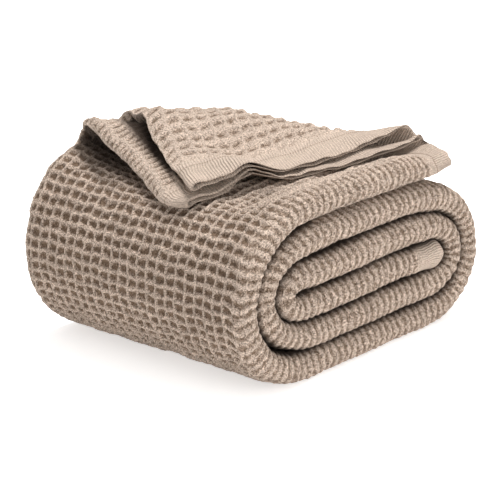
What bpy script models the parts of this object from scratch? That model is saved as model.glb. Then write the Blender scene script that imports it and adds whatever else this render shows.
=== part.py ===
"""Cotton blanket: one waffle cloth folded in four along its length, then rolled up.

The two long edges of the cloth are folded in to its middle and the cloth is then
folded in half, so the strip that is rolled has four plies: two double layers that
are joined by one big round fold along the front end of the roll. The strip is wound
into a flattened roll with six layers through its middle. The back corner of its
outer end is turned over towards the front left.

The cloth is laid out flat first: x runs along the strip from its inner end, y runs
across it from the front fold to the back folds, and z is the height from its middle.
Every vertex is then moved to where the turned corner and the roll take it.
"""

import math

import bmesh
import bpy
import numpy as np
from mathutils import Vector

# Cloth and strip, in metres
ROLL_LENGTH = 0.310
PLY = 0.0067
SLIT = 0.0016
PARTING = 0.0030
STRIP_HALF = 2 * PLY + SLIT + PARTING / 2
FRONT_Y = -ROLL_LENGTH / 2
BACK_Y = ROLL_LENGTH / 2
SELVEDGE_Y = FRONT_Y + STRIP_HALF + 0.004
FRONT_FOLD_STEPS = 8
BACK_FOLD_STEPS = 4
BACK_TAPER = 0.04
FACET_BULGE = 0.0008
LONGEST_FACET = 0.055

# Middle of the strip seen from the front end, from the inner end to the outer end
# Columns: across x in mm, height z in mm, half the strip's thickness in mm
CENTRE_LINE = (
    (131, 79.0, 8.0),
    (122, 79.4, 12.0),
    (108, 80.0, 14.2),
    (88, 80.3, 14.6),
    (50, 82.0, 15.2),
    (10, 81.0, 15.2),
    (-30, 79.0, 14.8),
    (-70, 78.4, 14.4),
    (-98, 78.8, 14.0),
    (-117, 80.0, 13.0),
    (-129.5, 85.3, 12.6),
    (-134, 95.5, 13.2),
    (-129.5, 106.0, 13.2),
    (-117, 111.5, 13.8),
    (-98, 112.0, 15.0),
    (-70, 111.5, 16.0),
    (-40, 112.5, 16.4),
    (-10, 114.0, 16.6),
    (25, 115.0, 16.6),
    (60, 115.5, 16.2),
    (92, 114.5, 15.2),
    (120, 110.6, 13.4),
    (142, 99.6, 12.9),
    (152, 83.0, 13.0),
    (151, 66.5, 13.0),
    (139, 54.0, 13.6),
    (118, 48.8, 14.6),
    (90, 48.3, 15.2),
    (50, 48.3, 15.2),
    (10, 47.8, 15.0),
    (-30, 46.9, 14.7),
    (-72, 46.6, 14.4),
    (-103, 48.6, 14.0),
    (-129, 55.5, 13.2),
    (-149.5, 67.0, 12.8),
    (-161, 84.0, 12.7),
    (-163.5, 101.0, 12.7),
    (-158.5, 118.0, 13.0),
    (-147, 131.5, 13.2),
    (-128, 141.0, 14.0),
    (-103, 146.3, 15.0),
    (-75, 148.2, 15.6),
    (-44, 149.2, 15.7),
    (-10, 149.8, 15.7),
    (25, 149.8, 15.6),
    (60, 149.2, 15.4),
    (92, 147.2, 15.0),
    (124, 141.2, 14.4),
    (150, 130.0, 13.8),
    (169, 113.0, 13.3),
    (180, 93.0, 13.0),
    (182.5, 71.0, 13.0),
    (176.5, 49.5, 13.2),
    (162, 31.0, 13.8),
    (141, 19.5, 14.8),
    (115, 15.4, 15.3),
    (70, 15.3, 15.3),
    (20, 15.3, 15.3),
    (-30, 15.3, 15.3),
    (-78, 15.3, 15.3),
    (-110, 16.1, 15.3),
    (-138, 22.5, 15.0),
    (-160, 34.5, 14.2),
    (-178, 54.0, 13.4),
    (-188.5, 79.0, 13.2),
    (-190.5, 104.0, 12.9),
    (-184.5, 128.0, 13.4),
    (-172, 148.0, 14.0),
    (-153, 164.0, 14.8),
    (-129, 175.5, 15.4),
    (-103, 181.0, 15.6),
    (-70, 182.4, 15.5),
    (-30, 182.5, 15.4),
    (10, 182.5, 15.4),
    (50, 182.2, 15.4),
    (90, 181.6, 15.4),
    (118, 182.2, 15.0),
    (137, 184.0, 14.4),
)

# Thickness of the top layer as a share of the strip's full thickness: behind its front
# fold, at its back folds and at its outer hem. HEM_X is where that hem lies in the table's x
TOP_SHARE_MIDDLE = 0.53
TOP_SHARE_BACK = 0.85
SHOULDER_RISE = 0.010
HEM_SHARE = 0.64
HEM_BAND = 0.030
HEM_X = 0.137

# Turned corner, in metres on the top layer: x as in the table above, y across
# right is where the fold line leaves the hem, back is where it leaves the back folds,
# corner is the flat cloth's corner, tip is where that corner lands, bulge is how far the
# left edge bows out, bow is how near the tip it does so, lift is how much higher the middle
# of that edge rides and wave is how high the hem stands up beside the tip
LOWER_TURN = {
    "right": (0.139, -0.128),
    "back": (-0.118, 0.155),
    "corner": (0.137, 0.155),
    "tip": (-0.160, -0.050),
    "bulge": 0.022,
    "bow": 2.6,
    "lift": 0.0,
    "wave": 0.0145,
    "column": 1,
}
UPPER_TURN = {
    "right": (0.152, -0.118),
    "back": (-0.086, 0.155),
    "corner": (0.165, 0.155),
    "tip": (-0.157, -0.052),
    "bulge": 0.015,
    "bow": 0.9,
    "lift": 0.0015,
    "wave": 0.0130,
    "column": 2,
}

# Clear half height inside the turns, along their fold lines
# Columns: share of the way from the hem to the back folds, half height inside the lower
# turn in mm, the same inside the upper turn
TURN_OPENING = (
    (0.00, 1.2, 0.4),
    (0.10, 1.4, 0.6),
    (0.19, 1.6, 1.0),
    (0.26, 1.9, 1.5),
    (0.37, 3.8, 3.8),
    (0.48, 7.6, 7.8),
    (0.62, 11.6, 12.8),
    (0.74, 8.8, 10.6),
    (0.82, 5.4, 5.8),
    (0.88, 3.6, 2.6),
    (1.00, 3.0, 4.6),
)
HEM_LIFT = 0.017
EDGE_RISE = 0.014
FLAP_GAP = 0.0024
LAYER_GAP = 0.0027
SETTLE_LENGTH = 0.065

# Lines across the turned corner at which the flat cloth may bend, in mm past the fold
LOWER_BEND_LINES = (0, 4, 8, 12, 17, 23, 30, 40, 54, 72, 95, 120)
UPPER_BEND_LINES = (0, 7, 14, 21, 28, 36, 45, 56, 70, 88, 110)
FLAP_CROSS_LINES = (-0.138, -0.119, -0.10, -0.08, -0.06, -0.035, -0.01, 0.015, 0.036, 0.054, 0.072,
                    0.09, 0.11, 0.13)


def clear_scene():
    """Remove the objects that a new file holds."""
    for thing in list(bpy.data.objects):
        bpy.data.objects.remove(thing, do_unlink=True)


def smooth_step(low, high, value):
    """Ease from 0 at low to 1 at high."""
    share = np.clip((value - low) / (high - low), 0.0, 1.0)
    return share * share * (3.0 - 2.0 * share)


def sample_centre_line(steps=24):
    """Return distance, x, z, heading and half thickness at close points of the roll."""
    table = np.array(CENTRE_LINE) / 1000.0
    chord = np.hypot(*np.diff(table[:, :2], axis=0).T)
    knots = np.concatenate(([0.0], np.cumsum(np.sqrt(chord))))
    slopes = np.gradient(table, knots, axis=0)
    rows = []
    for i in range(len(table) - 1):
        span = knots[i + 1] - knots[i]
        last = i == len(table) - 2
        for t in np.linspace(0.0, 1.0, steps, endpoint=last):
            rows.append(
                (2 * t**3 - 3 * t**2 + 1) * table[i]
                + (t**3 - 2 * t**2 + t) * span * slopes[i]
                + (3 * t**2 - 2 * t**3) * table[i + 1]
                + (t**3 - t**2) * span * slopes[i + 1]
            )
    line = even_out(np.array(rows))
    step = np.diff(line[:, :2], axis=0)
    distance = np.concatenate(([0.0], np.cumsum(np.hypot(*step.T))))
    heading = np.unwrap(np.arctan2(step[:, 1], step[:, 0]))
    heading = np.interp(distance, (distance[1:] + distance[:-1]) / 2, heading)
    return distance, line[:, 0], line[:, 1], heading, line[:, 2]


def even_out(line, spacing=0.001, width=0.0055):
    """Space the points of a line evenly and round off its small kinks."""
    step = np.diff(line[:, :2], axis=0)
    distance = np.concatenate(([0.0], np.cumsum(np.hypot(*step.T))))
    even = np.arange(0.0, distance[-1], spacing)
    reach = int(4 * width / spacing)
    weights = np.exp(-0.5 * (np.arange(-reach, reach + 1) * spacing / width) ** 2)
    weights /= weights.sum()
    columns = []
    for column in line.T:
        values = np.interp(even, distance, column)
        before = 2 * values[0] - values[reach:0:-1]
        after = 2 * values[-1] - values[-2:-reach - 2:-1]
        columns.append(np.convolve(np.concatenate((before, values, after)), weights, "valid"))
    return np.stack(columns, axis=1)


DISTANCE, LINE_X, LINE_Z, HEADING, HALF = sample_centre_line()
STRIP_LENGTH = DISTANCE[-1]
TOP_START = DISTANCE[np.nonzero(LINE_Z > 0.17)[0][0]]
TOP_ZERO = float(np.interp(0.0, LINE_X[DISTANCE > TOP_START], DISTANCE[DISTANCE > TOP_START]))


def stations():
    """Choose the distances along the strip at which it may bend."""
    places = [0.0, HEM_BAND]
    for at in DISTANCE:
        step = at - places[-1]
        turn = abs(np.interp(at, DISTANCE, HEADING) - np.interp(places[-1], DISTANCE, HEADING))
        bulge = turn * (step + turn * STRIP_HALF) / 8
        if step > 0 and (bulge > FACET_BULGE or step > LONGEST_FACET):
            places.append(float(at))
    places = [at for at in places if at < STRIP_LENGTH - HEM_BAND - 0.012]
    return places + [STRIP_LENGTH - HEM_BAND, STRIP_LENGTH]


def section_path():
    """Return the middle of the cloth across the strip, from one long edge to the other."""
    inner = PARTING / 2 + PLY / 2
    outer = inner + PLY + SLIT
    back_radius = (outer - inner) / 2
    back_centre = BACK_Y - back_radius - PLY / 2
    front_centre = FRONT_Y + outer + PLY / 2

    def back_fold(side):
        for i in range(BACK_FOLD_STEPS + 1):
            angle = -math.pi / 2 + math.pi * i / BACK_FOLD_STEPS
            yield (back_centre + back_radius * math.cos(angle),
                   side * ((inner + outer) / 2 + back_radius * math.sin(angle)))

    upper = [(SELVEDGE_Y, inner)] + list(back_fold(1))
    lower = [(SELVEDGE_Y, -inner)] + list(back_fold(-1))
    front = []
    for i in range(FRONT_FOLD_STEPS + 1):
        angle = math.pi / 2 + math.pi * i / FRONT_FOLD_STEPS
        front.append((front_centre + outer * math.cos(angle), outer * math.sin(angle)))
    return upper + front + lower[::-1]


def flat_cloth():
    """Lay the folded strip out flat: its section pushed along x, then made thick."""
    bm = bmesh.new()
    row = [bm.verts.new((0.0, y, z)) for y, z in section_path()]
    edges = [bm.edges.new(pair) for pair in zip(row, row[1:])]
    places = stations()
    for before, after in zip(places, places[1:]):
        made = bmesh.ops.extrude_edge_only(bm, edges=edges)["geom"]
        moved = [item for item in made if isinstance(item, bmesh.types.BMVert)]
        bmesh.ops.translate(bm, verts=moved, vec=(after - before, 0.0, 0.0))
        edges = [item for item in made if isinstance(item, bmesh.types.BMEdge)]
    mesh = bpy.data.meshes.new("blanket")
    bm.to_mesh(mesh)
    bm.free()
    cloth = bpy.data.objects.new("blanket", mesh)
    bpy.context.scene.collection.objects.link(cloth)
    solidify = cloth.modifiers.new("Ply thickness", "SOLIDIFY")
    solidify.thickness = PLY
    solidify.offset = 0.0
    solidify.use_even_offset = True
    evaluated = cloth.evaluated_get(bpy.context.evaluated_depsgraph_get())
    thick = bpy.data.meshes.new_from_object(evaluated)
    cloth.modifiers.clear()
    cloth.data = thick
    bpy.data.meshes.remove(mesh)
    return cloth


def fold_frame(turn):
    """Return the fold line's start, its unit direction, its length and its outward side."""
    start = np.array(turn["right"])
    along = np.array(turn["back"]) - start
    length = float(np.hypot(*along))
    along = along / length
    return start, along, length, np.array((along[1], -along[0]))


def distance_past_fold(x, y, turn):
    """Return how far a place lies past a fold line."""
    start, _, _, out = fold_frame(turn)
    return (x - start[0]) * out[0] + (y - start[1]) * out[1]


def cut_flat_cloth(cloth):
    """Score the flat cloth along the bend lines of the turned corner."""
    bm = bmesh.new()
    bm.from_mesh(cloth.data)

    def score(point, normal, wanted):
        faces = [face for face in bm.faces if wanted(face.calc_center_median())]
        items = set(faces)
        for face in faces:
            items.update(face.edges)
            items.update(face.verts)
        bmesh.ops.bisect_plane(bm, geom=list(items), dist=1e-6, plane_co=point, plane_no=normal)

    flap_start = TOP_ZERO - 0.21
    for y in FLAP_CROSS_LINES:
        score(Vector((0, y, 0)), Vector((0, 1, 0)), lambda c: c.x > flap_start)
    layers = ((LOWER_TURN, LOWER_BEND_LINES, 1), (UPPER_TURN, UPPER_BEND_LINES, -1))
    for turn, lines, side in layers:
        start, _, _, out = fold_frame(turn)

        def turned(c, side=side):
            return c.x > flap_start and c.y > FLAP_CROSS_LINES[0] and c.z * side > 0

        for line in lines:
            point = start + out * line / 1000.0
            score(Vector((TOP_ZERO + point[0], point[1], 0)), Vector((out[0], out[1], 0)), turned)
    bm.to_mesh(cloth.data)
    bm.free()


def back_ease(y):
    """Ease from 0 inside the cloth to 1 at its back folds."""
    return smooth_step(0.085, 0.150, y)


def shoulder_rise(x, y):
    """Return how far the top layer stands off the one below at the back left."""
    return SHOULDER_RISE * np.exp(-((x + 0.125) / 0.05) ** 2) * smooth_step(0.0, 0.155, y)


def hem_thinning(x, y):
    """Return how much thinner the strip gets towards its outer hem."""
    less = (1.0 - HEM_SHARE) * (1.0 - 0.75 * back_ease(y))
    return 1.0 - less * smooth_step(HEM_X - 2.6 * HEM_BAND, HEM_X, x)


def top_share(x, y):
    """Return the share of the full thickness that the top layer keeps at a place."""
    front = 1.0 - smooth_step(-0.150, -0.088, y)
    back = back_ease(y)
    share = TOP_SHARE_MIDDLE + (1.0 - TOP_SHARE_MIDDLE) * front
    share = (share + (TOP_SHARE_BACK - TOP_SHARE_MIDDLE) * back) * hem_thinning(x, y)
    return 1.0 + (share - 1.0) * smooth_step(-0.17, -0.11, x)


def opening(share, column):
    """Return the half height inside a turn at a share of its fold line."""
    table = np.array(TURN_OPENING)
    near = [np.interp(share + step, table[:, 0], table[:, column]) for step in (-0.04, 0.0, 0.04)]
    return sum(near) / 3 / 1000.0


def flap_wave(x, y, wave):
    """Return how far the turned corner stands up from the layer below it."""
    hem_rise = wave * np.exp(-((x + 0.095) / 0.024) ** 2 - ((y + 0.075) / 0.05) ** 2)
    edge_rise = EDGE_RISE * smooth_step(-0.02, 0.08, y) * (1.0 - smooth_step(-0.09, -0.02, x))
    return (hem_rise + edge_rise) * smooth_step(0.0, 0.05, -distance_past_fold(x, y, UPPER_TURN))


def hem_lift(x, y):
    """Return how far the end of the top layer curls up behind its front corner."""
    return HEM_LIFT * smooth_step(0.06, 0.150, x) * smooth_step(-0.158, -0.118, y)


def edge_line(y):
    """Return where the lower turned layer's left edge lies at a place across."""
    back, tip = LOWER_TURN["back"], LOWER_TURN["tip"]
    return back[0] + (tip[0] - back[0]) * (back[1] - y) / (back[1] - tip[1])


def turn_corner(x, y, n, thick, turn, inner_face, rest, gap):
    """Bend the flat cloth past a fold line and lay it back over the strip.

    n is the height from the strip's middle, thick is the share of its thickness that
    the cloth keeps, inner_face is the height of the layer's face inside the bend, and
    rest is the thickness that lies under the turned layer.
    The result is x, y and the height from the top of the strip.
    """
    start, along, length, out = fold_frame(turn)
    side = distance_past_fold(x, y, turn)
    share = ((x - start[0]) * along[0] + (y - start[1]) * along[1]) / length
    depth = (STRIP_HALF - inner_face) * thick
    thicker = TOP_SHARE_BACK - TOP_SHARE_MIDDLE
    crest_share = TOP_SHARE_MIDDLE + thicker * smooth_step(0.65, 0.9, share)
    crest = 2 * opening(share, turn["column"]) + rest * crest_share + gap
    radius = (crest + depth) / 2
    bend = math.pi * radius

    corner = np.array(turn["corner"])
    tip = np.array(turn["tip"])
    corner_share = float((corner - start) @ along) / length
    foot = start + along * corner_share * length
    reach = float((foot - tip) @ out)
    slide = float((tip - foot) @ along) / reach
    corner_side = float((corner - start) @ out)
    corner_radius = opening(corner_share, turn["column"]) + rest * TOP_SHARE_BACK
    stretch = (reach + math.pi * corner_radius) / corner_side

    run = side * stretch
    angle = np.clip(run / radius, 0.0, math.pi)
    past = np.maximum(run - bend, 0.0)
    forward = radius * np.sin(angle) - past
    height = -depth + radius * (1.0 - np.cos(angle))
    sideways = slide * past * past / (past + 0.01)
    landed_x = start[0] + along[0] * (share * length + sideways) - out[0] * past
    landed_y = start[1] + along[1] * (share * length + sideways) - out[1] * past
    from_edge = landed_x - edge_line(landed_y)
    under = TOP_SHARE_BACK - thicker * smooth_step(0.070, 0.115, from_edge)
    fall = crest - (rest * under * hem_thinning(x - 0.020, y) + gap)
    foot_x = start[0] + along[0] * share * length
    foot_y = start[1] + along[1] * share * length
    lag = np.maximum(distance_past_fold(foot_x, foot_y, LOWER_TURN), 0.0)
    settle = np.clip((past - lag) / SETTLE_LENGTH, 0.0, 1.0)
    height = height - fall * 0.5 * (1.0 - np.cos(math.pi * settle))
    slope = fall * 0.5 * math.pi / SETTLE_LENGTH * np.sin(math.pi * settle)
    angle = angle + np.arctan(slope)
    offset = (inner_face - n) * thick
    forward = forward + offset * np.sin(angle)
    height = height - offset * np.cos(angle)
    new_x = start[0] + along[0] * (share * length + sideways) + out[0] * forward
    new_y = start[1] + along[1] * (share * length + sideways) + out[1] * forward
    belly = np.sin(math.pi * np.clip(past / reach, 0.0, 1.0) ** turn["bow"]) * smooth_step(0.0, 0.155, y)
    new_x = new_x - turn["bulge"] * belly
    height = height + np.where(past > 0, flap_wave(new_x, new_y, turn["wave"]), 0.0)
    height = height + hem_lift(foot_x, foot_y) * (1.0 - smooth_step(0.0, 0.06, past))
    clear = np.exp(-((new_x + 0.078) / 0.035) ** 2 - ((new_y - 0.060) / 0.040) ** 2)
    height = height + turn["lift"] * clear * smooth_step(0.0, 0.02, past)
    return side > 0, new_x, new_y, height


def wind(distance, y, n):
    """Carry points of the strip to their place in the roll."""
    x = np.interp(distance, DISTANCE, LINE_X)
    z = np.interp(distance, DISTANCE, LINE_Z)
    heading = np.interp(distance, DISTANCE, HEADING)
    past = np.maximum(distance - STRIP_LENGTH, 0.0)
    x = x + past * np.cos(heading) - n * np.sin(heading)
    z = z + past * np.sin(heading) + n * np.cos(heading)
    taper = 1.0 - BACK_TAPER * (y - FRONT_Y) / ROLL_LENGTH
    return np.stack((x * taper, y, z), axis=1)


def place_cloth(points):
    """Move the flat cloth's points into the roll, with its outer corner turned."""
    distance, y, n = points.T
    x = distance - TOP_ZERO
    half = np.interp(distance, DISTANCE, HALF)
    on_top = x > -0.20

    lower_end = LOWER_TURN["corner"][0] - LOWER_TURN["right"][0]
    upper_end = UPPER_TURN["corner"][0] - UPPER_TURN["right"][0]
    across = smooth_step(-0.10, 0.155, y)
    beyond = np.where(n < 0, 0.014 + upper_end * across, lower_end * across)
    at_front = 1.0 - smooth_step(-0.14, -0.12, y)
    beyond = beyond * (1 - at_front) + at_front * 0.004 * (1.0 - np.clip(n / STRIP_HALF, -1, 1))
    thick = np.where(on_top, top_share(x, y), 1.0)
    share = thick * half / STRIP_HALF
    height = -half + (n + STRIP_HALF) * share + np.where(on_top, hem_lift(x, y), 0.0)
    x = x + beyond * smooth_step(0.0, HEM_X, x)

    lower = turn_corner(x, y, n, thick, LOWER_TURN, STRIP_HALF, 0.0, FLAP_GAP)
    upper_rest = STRIP_HALF - PARTING / 2
    upper = turn_corner(x, y, n, thick, UPPER_TURN, -PARTING / 2, upper_rest, FLAP_GAP + LAYER_GAP)
    for turned, side in ((lower, n > 0), (upper, n < 0)):
        past_fold, new_x, new_y, above = turned
        moved = on_top & side & past_fold & (y > FLAP_CROSS_LINES[0])
        top = -half + 2 * half * top_share(new_x, new_y)
        x = np.where(moved, new_x, x)
        y = np.where(moved, new_y, y)
        height = np.where(moved, top + above, height)
    height = height + np.where(on_top, shoulder_rise(x, y), 0.0)
    return wind(x + TOP_ZERO, y, height)


def build_blanket():
    """Make the rolled blanket as one closed body."""
    cloth = flat_cloth()
    cut_flat_cloth(cloth)
    mesh = cloth.data
    points = np.empty(len(mesh.vertices) * 3)
    mesh.vertices.foreach_get("co", points)
    placed = place_cloth(points.reshape(-1, 3))
    placed[:, 2] = np.where(placed[:, 2] < 0.0006, 0.0, placed[:, 2])
    middle = (placed.min(axis=0) + placed.max(axis=0)) / 2
    placed -= np.array((middle[0], middle[1], 0.0))
    mesh.vertices.foreach_set("co", placed.ravel())
    bm = bmesh.new()
    bm.from_mesh(mesh)
    bmesh.ops.triangulate(bm, faces=bm.faces[:])
    bmesh.ops.recalc_face_normals(bm, faces=bm.faces[:])
    bm.to_mesh(mesh)
    bm.free()
    mesh.shade_smooth()
    mesh.set_sharp_from_angle(angle=math.radians(50))
    return cloth


def cotton_material():
    """Taupe cotton."""
    material = bpy.data.materials.new("Taupe cotton")
    material.use_nodes = True
    shader = material.node_tree.nodes["Principled BSDF"]
    shader.inputs["Base Color"].default_value = (0.52, 0.42, 0.34, 1.0)
    shader.inputs["Roughness"].default_value = 0.92
    shader.inputs["Metallic"].default_value = 0.0
    return material


def main():
    """Build the blanket in its own collection."""
    clear_scene()
    collection = bpy.data.collections.new("Cotton blanket")
    bpy.context.scene.collection.children.link(collection)
    blanket = build_blanket()
    bpy.context.scene.collection.objects.unlink(blanket)
    collection.objects.link(blanket)
    blanket.data.materials.append(cotton_material())


main()
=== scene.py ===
"""Waffle cotton blanket, folded in four, rolled up and with the corner of its end turned over.

One cloth of about 1.24 by 2.17 m. It is worked out as a flat cloth marked with its waffle
cells, and every point of it is then carried to its place in the folded and rolled strip.
The weave, the plain hem bands and the hem stitches are raised on that shape.
"""

import functools
import math

import bpy
import numpy as np
from bpy.props import FloatProperty, FloatVectorProperty, IntProperty, PointerProperty
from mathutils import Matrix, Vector


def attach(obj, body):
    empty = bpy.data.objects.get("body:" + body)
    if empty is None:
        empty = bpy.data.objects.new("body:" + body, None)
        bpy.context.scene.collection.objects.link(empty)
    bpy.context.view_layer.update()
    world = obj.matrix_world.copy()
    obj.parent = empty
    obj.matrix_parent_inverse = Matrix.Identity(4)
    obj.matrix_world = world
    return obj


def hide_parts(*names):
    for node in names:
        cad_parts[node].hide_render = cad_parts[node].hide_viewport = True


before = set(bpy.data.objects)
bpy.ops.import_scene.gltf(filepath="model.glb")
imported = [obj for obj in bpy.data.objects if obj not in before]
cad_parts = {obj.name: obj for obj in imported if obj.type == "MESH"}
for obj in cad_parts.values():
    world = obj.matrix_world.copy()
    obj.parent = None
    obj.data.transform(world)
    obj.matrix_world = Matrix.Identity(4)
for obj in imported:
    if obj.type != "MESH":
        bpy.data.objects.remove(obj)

bl_info = {
    "name": "Waffle Cotton Blanket",
    "version": (1, 0, 0),
    "blender": (4, 5, 0),
    "location": "View3D > Sidebar > Blanket",
    "description": "Builds a rolled waffle blanket and the studio it is seen in",
    "category": "Add Mesh",
}

# Cloth and strip, in metres. A ply's thickness takes in the loft of the waffle. The slit lies
# inside a double layer and the parting between the two of them.
ROLL_LENGTH = 0.310
PLY = 0.0067
SLIT = 0.0016
PARTING = 0.0030
STRIP_HALF = 2 * PLY + SLIT + PARTING / 2
INNER = PARTING / 2 + PLY / 2
OUTER = INNER + PLY + SLIT
FRONT_Y = -ROLL_LENGTH / 2
BACK_Y = ROLL_LENGTH / 2
SELVEDGE_Y = FRONT_Y + STRIP_HALF + 0.004
BACK_RADIUS = (OUTER - INNER) / 2
BACK_CENTRE = BACK_Y - BACK_RADIUS - PLY / 2
FRONT_CENTRE = FRONT_Y + OUTER + PLY / 2
BACK_TAPER = 0.04
HEM_BAND = 0.030
HEM_FLATNESS = 0.12
EDGE_ROUND = 0.0024
INNER_END_ROUND = 0.014
FOLD_FULLNESS = 0.0012
ABOVE_FLOOR = 0.0002

# Middle of the roll's bounding box in X and Y before it is moved to the origin
ROLL_MIDDLE = (-0.0040424, 0.0027583)

# Waffle cells along and across the cloth, and where the mesh is cut inside a cell
CELLS_ALONG = 213
CELLS_ACROSS = 96
STEPS = 8
ALONG_CUTS = (0.0, 0.10, 0.20, 0.32, 0.5, 0.68, 0.80, 0.90)
ACROSS_CUTS = (0.0, 0.045, 0.11, 0.28, 0.5, 0.72, 0.89, 0.955)

# Lengths that the cloth is laid in, and the cells that they end at
PIECES = ("inner_turns", "middle_turns", "outer_turn", "top_turn", "turned_corner")
PIECE_ENDS = (0, 88, 138, 172, 194, 213)

# How the waffle frays and varies, and how it changes where it lies loose and round the front
# fold. Frays and the spine's width are shares of a cell, heights and the blend of the ridges are
# in metres, and the rest are shares of a ridge's width, height or sharpness, of a pit's depth or
# of full brightness. The shades and the fold's brightness set how much of the pits' painted shade
# the ridges, the spine and the front fold get.
FRAY, FOLD_FRAY, CROSS_FRAY = 0.50, 0.75, 0.10
LOOSE_RIDGE = 1.3
ARCHED, UNEVEN_CROSS, LOOSE_CROSS, FOLD_CROSS = 0.35, 1.1, 0.42, 0.45
FOLD_RIDGE_LOSS = 0.75
LOOSE_SHARPNESS = 0.46
LOOSE_SHALLOW, FOLD_SHALLOW = 0.30, 0.62
GRAIN_HEIGHT, RIDGE_BLEND = 0.0080, 0.0002
SPINE_WIDTH, SPINE_HEIGHT, SPINE_SHADE = 0.20, 0.0003, 0.34
CROSS_SHADE, LOOSE_SHADE, MIDWAY_SHADE, FOLD_SHADE, FOLD_BRIGHT = 0.76, 0.07, 0.30, 0.18, 0.10

# Middle of the strip seen from the front end, from the inner end to the outer end
# Columns: across x in mm, height z in mm, half the strip's thickness in mm
CENTRE_LINE = (
    (131, 79.0, 8.0), (122, 79.4, 12.0), (108, 80.0, 14.2), (88, 80.3, 14.6), (50, 82.0, 15.2),
    (10, 81.0, 15.2), (-30, 79.0, 14.8), (-70, 78.4, 14.4), (-98, 78.8, 14.0), (-117, 80.0, 13.0),
    (-129.5, 85.3, 12.6), (-134, 95.5, 13.2), (-129.5, 106.0, 13.2), (-117, 111.5, 13.8),
    (-98, 112.0, 15.0), (-70, 111.5, 16.0), (-40, 112.5, 16.4), (-10, 114.0, 16.6),
    (25, 115.0, 16.6), (60, 115.5, 16.2), (92, 114.5, 15.2), (120, 110.6, 13.4),
    (142, 99.6, 12.9), (152, 83.0, 13.0), (151, 66.5, 13.0), (139, 54.0, 13.6),
    (118, 48.8, 14.6), (90, 48.3, 15.2), (50, 48.3, 15.2), (10, 47.8, 15.0), (-30, 46.9, 14.7),
    (-72, 46.6, 14.4), (-103, 48.6, 14.0), (-129, 55.5, 13.2), (-149.5, 67.0, 12.8),
    (-161, 84.0, 12.7), (-163.5, 101.0, 12.7), (-158.5, 118.0, 13.0), (-147, 131.5, 13.2),
    (-128, 141.0, 14.0), (-103, 146.3, 15.0), (-75, 148.2, 15.6), (-44, 149.2, 15.7),
    (-10, 149.8, 15.7), (25, 149.8, 15.6), (60, 149.2, 15.4), (92, 147.2, 15.0),
    (124, 141.2, 14.4), (150, 130.0, 13.8), (169, 113.0, 13.3), (180, 93.0, 13.0),
    (182.5, 71.0, 13.0), (176.5, 49.5, 13.2), (162, 31.0, 13.8), (141, 19.5, 14.8),
    (115, 15.4, 15.3), (70, 15.3, 15.3), (20, 15.3, 15.3), (-30, 15.3, 15.3),
    (-78, 15.3, 15.3), (-110, 16.1, 15.3), (-138, 22.5, 15.0), (-160, 34.5, 14.2),
    (-178, 54.0, 13.4), (-188.5, 79.0, 13.2), (-190.5, 104.0, 12.9), (-184.5, 128.0, 13.4),
    (-172, 148.0, 14.0), (-153, 164.0, 14.8), (-129, 175.5, 15.4), (-103, 181.0, 15.6),
    (-70, 182.4, 15.5), (-30, 182.5, 15.4), (10, 182.5, 15.4), (50, 182.2, 15.4),
    (90, 181.6, 15.4), (118, 182.2, 15.0), (137, 184.0, 14.4),
)

# Thickness of the top layer as a share of the strip's, and the shape of its outer end
TOP_SHARE_MIDDLE = 0.53
TOP_SHARE_BACK = 0.85
SHOULDER_RISE = 0.010
HEM_SHARE = 0.64
HEM_X = 0.137
HEM_LIFT = 0.0138
EDGE_RISE = 0.014
FLAP_GAP = 0.0024
LAYER_GAP = 0.0027
SETTLE_LENGTH = 0.065
FLAP_FRONT = -0.138

# Turned corner: the two double layers that are folded over towards the front left.
# right and back are the ends of the fold line, corner is the cloth's corner before the turn and
# tip is where it lands. bulge and bow shape the left edge, lift and wave raise the layer, and
# column is the one that the layer uses in TURN_OPENING.
LOWER_TURN = {
    "right": (0.139, -0.128),
    "back": (-0.118, 0.155),
    "corner": (0.137, 0.155),
    "tip": (-0.160, -0.050),
    "bulge": 0.022,
    "bow": 2.6,
    "lift": 0.0,
    "wave": 0.0145,
    "column": 1,
}
UPPER_TURN = {
    "right": (0.152, -0.118),
    "back": (-0.086, 0.155),
    "corner": (0.165, 0.155),
    "tip": (-0.157, -0.052),
    "bulge": 0.015,
    "bow": 0.9,
    "lift": 0.0015,
    "wave": 0.0130,
    "column": 2,
}

# Columns: share of the fold line from its right end, half height inside the turn in mm for the
# lower and for the upper layer
TURN_OPENING = (
    (0.00, 1.3, 1.0),
    (0.10, 2.0, 2.0),
    (0.19, 2.3, 2.2),
    (0.26, 2.3, 2.2),
    (0.37, 3.8, 3.8),
    (0.48, 7.6, 7.8),
    (0.62, 11.6, 12.8),
    (0.74, 8.8, 10.6),
    (0.82, 5.4, 5.8),
    (0.88, 3.6, 2.6),
    (1.00, 3.0, 4.6),
)

# Soft troughs and ridges pressed into the cloth by hand, on the roll's outer turn and its top
# and on the turned corner
# Columns: distance along and across the cloth in m, half length and half width in mm, turn
# from the strip's direction in degrees, height in mm
CREASES = (
    (1.50, 0.42, 70, 14, 12, -1.6),
    (1.60, 0.50, 60, 12, -16, -1.4),
    (1.66, 0.40, 55, 16, 24, 1.3),
    (1.55, 0.36, 50, 12, -8, 1.2),
    (1.72, 0.47, 48, 12, 30, -1.5),
    (1.80, 0.54, 60, 13, 8, -1.3),
    (1.86, 0.44, 44, 12, -24, 1.2),
    (1.95, 0.52, 60, 12, 18, -1.2),
    (2.05, 0.55, 50, 12, -14, -1.1),
    (1.32, 0.45, 60, 14, 10, -1.3),
    (1.40, 0.52, 48, 12, -20, 1.2),
    (1.16, 0.40, 60, 14, 16, -1.2),
    (1.22, 0.54, 50, 12, -10, 1.1),
    (1.98, 0.80, 46, 10, 38, -1.4),
    (2.06, 0.86, 52, 11, 30, 1.1),
    (2.08, 0.78, 40, 10, 46, -1.2),
    (2.11, 0.90, 42, 9, 20, -1.1),
)


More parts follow.
